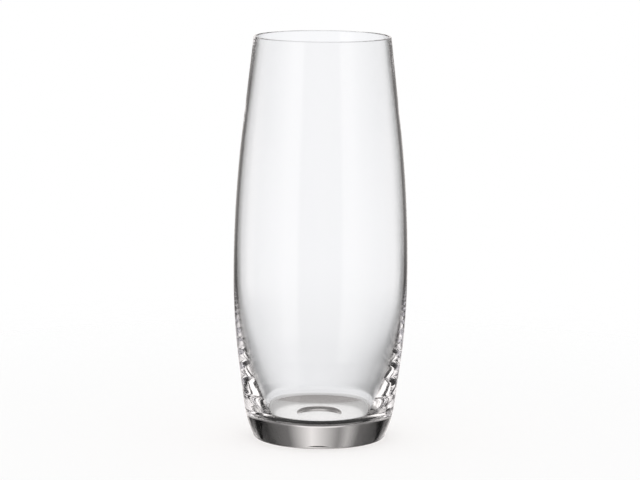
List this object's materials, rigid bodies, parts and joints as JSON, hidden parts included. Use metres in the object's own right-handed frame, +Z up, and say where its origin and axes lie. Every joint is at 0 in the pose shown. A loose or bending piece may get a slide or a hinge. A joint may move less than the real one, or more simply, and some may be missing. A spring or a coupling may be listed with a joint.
{
  "type": "tumbler",
  "caption": "Tall barrel-shaped clear drinking glass with a thin rounded lip, a wall that thickens downwards, a heavy solid base and a flat foot ring.",
  "frame": {"origin": "on the axis of the glass, at the table plane that the foot ring stands on", "axes": "+Z up along the axis of the glass, from the foot to the lip; X and Y are free, because the glass is round"},
  "size_m": [0.069, 0.069, 0.16],
  "materials": {
    "clear_glass": "clear and colourless, fire-polished"
  },
  "bodies": {
    "root": {"glass_body": "clear_glass"}
  },
  "joints": []
}
